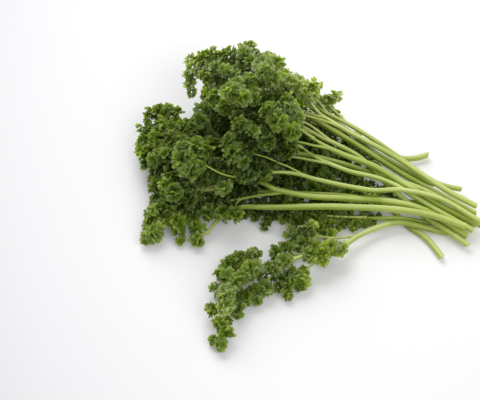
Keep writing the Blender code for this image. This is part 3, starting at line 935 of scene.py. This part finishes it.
class PARSLEY_OT_leaves(bpy.types.Operator):
    """Model the leaflets once, and copy them round every tuft of each frond"""

    bl_idname = "parsley.leaves"
    bl_label = "Leaves"

    def execute(self, context):
        settings = context.scene.parsley_leaf
        finish = leaf_material(settings)
        masters = [leaflet_master(n, settings.thickness / USUAL_LENGTH) for n in range(LEAFLETS)]
        patterns = [Pattern(leaf) for leaf in masters]
        for leaf in masters:
            bpy.data.objects.remove(leaf)
        for number, plan in enumerate(FRONDS):
            piece = self.frond(plan, patterns, settings, random.Random(number))
            piece.data.materials.append(finish)
            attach(piece, "root")
            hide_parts(plan.node)
        return {"FINISHED"}

    def frond(self, plan, patterns, settings, pick):
        """One frond's leaflets, joined into one mesh."""
        co, corner, start, uv, tone = [], [], [], [], []
        corners = loops = 0
        sprig = plan.stem[-2:]
        # Each frond's and clump's tint holds its own tone, painted light from LIGHTER, and painted shade
        # where it lies deep in the heap.
        frond_tone_and_light = LIGHTER.get(plan.node[-3:], LIGHTER.get(sprig, 0.0)) + pick.uniform(-0.12, 0.12)
        for clump in plan.clumps:
            clump_tone_light_and_shade = frond_tone_and_light + pick.uniform(-0.16, 0.16) - settings.inner_shade * clump.depth
            for place in self.leaflets(clump, settings.length * LARGER.get(sprig, 1.0), pick):
                pattern = pick.choice(patterns)
                spots = pattern.co @ np.array(place.to_3x3()).T + np.array(place.translation)
                out = np.linalg.norm(spots - np.array(clump.centre), axis=1) / clump.radius
                tint_and_shading = min(1, max(0, 0.55 + 0.45 * (clump_tone_light_and_shade + pick.uniform(-0.2, 0.2))))
                co.append(above_surface(spots))
                corner.append(pattern.corner + corners)
                start.append(pattern.start + loops)
                uv.append(pattern.uv)
                # Painted light and shade: leaf further out from its clump's middle, and towards a
                # leaflet's margin, is painted lighter; leaf deep inside the clump is painted darker.
                height = np.clip((out - 0.55) / 0.6, 0, 1) * (0.55 + 0.45 * pattern.margin)
                tone.append(np.stack([height, np.full(len(spots), tint_and_shading),
                                      pattern.upper, np.ones(len(spots))], axis=1))
                corners += len(spots)
                loops += len(pattern.corner)
        mesh = bpy.data.meshes.new(plan.node + "_leaves")
        for items, key, parts, kind in (
                (mesh.vertices, "co", co, np.float32), (mesh.loops, "vertex_index", corner, np.int32),
                (mesh.polygons, "loop_start", start, np.int32)):
            values = np.concatenate(parts).astype(kind)
            items.add(len(values))
            items.foreach_set(key, values.ravel())
        mesh.update(calc_edges=True)
        mesh.validate()
        layer = mesh.uv_layers.new(name="leaf_map")
        layer.data.foreach_set("uv", np.concatenate(uv).ravel())
        point_values(mesh, "leaf_tone_and_light", np.concatenate(tone))
        mesh.shade_smooth()
        mesh.set_sharp_from_angle(angle=math.radians(75))
        piece = bpy.data.objects.new(plan.node + "_leaves", mesh)
        bpy.context.scene.collection.objects.link(piece)
        return piece

    def leaflets(self, clump, full_length, pick):
        """Where a clump's leaflets go: rings of them that open from its middle like a rosette."""
        up = (Vector((0, 0, 0.75)) + clump.grows * 0.7).normalized()
        wander = Vector((pick.uniform(-1, 1), pick.uniform(-1, 1), pick.uniform(-1, 1)))
        up = (up + wander * 0.5).normalized()
        side = up.orthogonal().normalized()
        turn = pick.uniform(0, 2 * math.pi)
        for count, tilt in FULL_RINGS if clump.radius > FULL_CLUMP else SMALL_RINGS:
            for n in range(count):
                turn += 2 * math.pi / count + pick.uniform(-0.45, 0.45)
                raised = math.radians(tilt + pick.uniform(-SWAY, SWAY))
                flat = Matrix.Rotation(turn, 3, up) @ side
                way = (flat * math.cos(raised) + up * math.sin(raised)).normalized()
                face = up - way * up.dot(way) if tilt < UPRIGHT else flat * -1
                face = (face - way * face.dot(way)).normalized()
                spin = Matrix((way, face.cross(way), face)).transposed()
                spin = spin @ Matrix.Rotation(math.radians(pick.uniform(-SWAY, SWAY)), 3, "X")
                length = min(full_length, clump.radius * 1.05) * pick.uniform(0.66, 1.2)
                base = clump.centre + way * (clump.radius - 0.8 * length) * pick.uniform(0.2, 1.0)
                base += clump.grows * clump.radius * pick.uniform(-0.3, 0.3)
                yield Matrix.Translation(base) @ spin.to_4x4() @ Matrix.Scale(length, 4)
            turn += math.pi / count


# ---- stage

FLOOR_FADE = 0.4  # from the surface's middle to where its painted falloff of light ends
# Painted light: the surface glows a little, which lightens the shadows on it.
FLOOR_GLOW = 0.12
WORLD_LIGHT = 0.445
FILL_SHARE = 0.48  # of the large lamp's power
SENSOR = 36
VIEW_WIDTH = 0.288  # that the camera sees at its aim
ELEVATION = math.radians(50)
AIM = Vector((-0.0408, 0.0099, 0.0))


class PARSLEY_OT_stage(bpy.types.Operator):
    """Add the pale surface, the lamps and the camera"""

    bl_idname = "parsley.stage"
    bl_label = "Stage"

    def execute(self, context):
        settings = context.scene.parsley_stage
        scene = context.scene
        bpy.ops.mesh.primitive_plane_add(size=8)
        floor = context.object
        floor.name = "floor"
        made, tree, shader = new_material("floor_paper")
        place = node(tree, "ShaderNodeTexCoord").outputs["Object"]
        spread = node(tree, "ShaderNodeMapping", {
            "Vector": place, "Location": (-0.02, -0.048, 0), "Scale": (1, 0.6, 1)}).outputs[0]
        away = node(tree, "ShaderNodeVectorMath", {0: spread}, operation="LENGTH").outputs["Value"]
        # Painted light: the surface is painted lighter in its middle and darker and a little bluer
        # towards its edges, as a pool of light falls off.
        shade = colour_ramp(tree, maths(tree, "MULTIPLY", away, 1 / FLOOR_FADE), [
            (0.15, settings.floor_colour), (0.33, (0.805, 0.806, 0.813)), (0.5, (0.725, 0.73, 0.744)),
            (0.62, (0.645, 0.65, 0.668))])
        feed(tree, shader, {"Base Color": shade, "Roughness": 0.9, "Specular IOR Level": 0.0,
                            "Emission Color": (1, 1, 1, 1), "Emission Strength": FLOOR_GLOW})
        floor.data.materials.append(made)
        self.lamp("key", (-0.45, 1.35, 1.35), 1.7, settings.key_power)
        self.lamp("fill", (0.9, -1.2, 1.4), 1.6, settings.key_power * FILL_SHARE)
        world = bpy.data.worlds.new("studio")
        scene.world = world
        world.use_nodes = True
        feed(world.node_tree, world.node_tree.nodes["Background"], {0: (1, 1, 1, 1), 1: WORLD_LIGHT})
        self.camera(scene, settings)
        scene.view_settings.view_transform = "Standard"
        return {"FINISHED"}

    def lamp(self, name, place, size, power):
        """A square lamp that faces the origin."""
        bpy.ops.object.light_add(type="AREA", location=place)
        lamp = bpy.context.object
        lamp.name = name
        lamp.data.size = size
        lamp.data.energy = power
        lamp.rotation_euler = (-Vector(place)).to_track_quat("-Z", "Y").to_euler()

    def camera(self, scene, settings):
        """The camera stands before the bunch and looks down at it."""
        back = Vector((0, -math.cos(ELEVATION), math.sin(ELEVATION)))
        bpy.ops.object.camera_add(location=AIM + back * settings.distance)
        camera = bpy.context.object
        camera.rotation_euler = (-back).to_track_quat("-Z", "Y").to_euler()
        camera.data.sensor_width = SENSOR
        camera.data.lens = SENSOR * settings.distance / VIEW_WIDTH
        camera.data.clip_end = 20
        scene.camera = camera


class PARSLEY_PT_panel(bpy.types.Panel):
    bl_label = "Curly Parsley Bunch"
    bl_space_type = "VIEW_3D"
    bl_region_type = "UI"
    bl_category = "Parsley"

    def draw(self, context):
        for operator in OPERATORS:
            self.layout.operator(operator.bl_idname)
        for key in SETTINGS:
            box = self.layout.box()
            group = getattr(context.scene, key)
            for name in group.bl_rna.properties.keys():
                if name not in ("rna_type", "name"):
                    box.prop(group, name)


SETTINGS = {"parsley_stem": StemSettings, "parsley_leaf": LeafSettings, "parsley_stage": StageSettings}
OPERATORS = (PARSLEY_OT_stems, PARSLEY_OT_stalks, PARSLEY_OT_leaves, PARSLEY_OT_stage)
CLASSES = (*SETTINGS.values(), *OPERATORS, PARSLEY_PT_panel)


def register():
    for cls in CLASSES:
        bpy.utils.register_class(cls)
    for key, cls in SETTINGS.items():
        setattr(bpy.types.Scene, key, bpy.props.PointerProperty(type=cls))


def unregister():
    for key in SETTINGS:
        delattr(bpy.types.Scene, key)
    for cls in reversed(CLASSES):
        bpy.utils.unregister_class(cls)


def main():
    register()
    bpy.ops.parsley.stems()
    bpy.ops.parsley.stalks()
    bpy.ops.parsley.leaves()
    bpy.ops.parsley.stage()


if __name__ == "__main__":
    main()
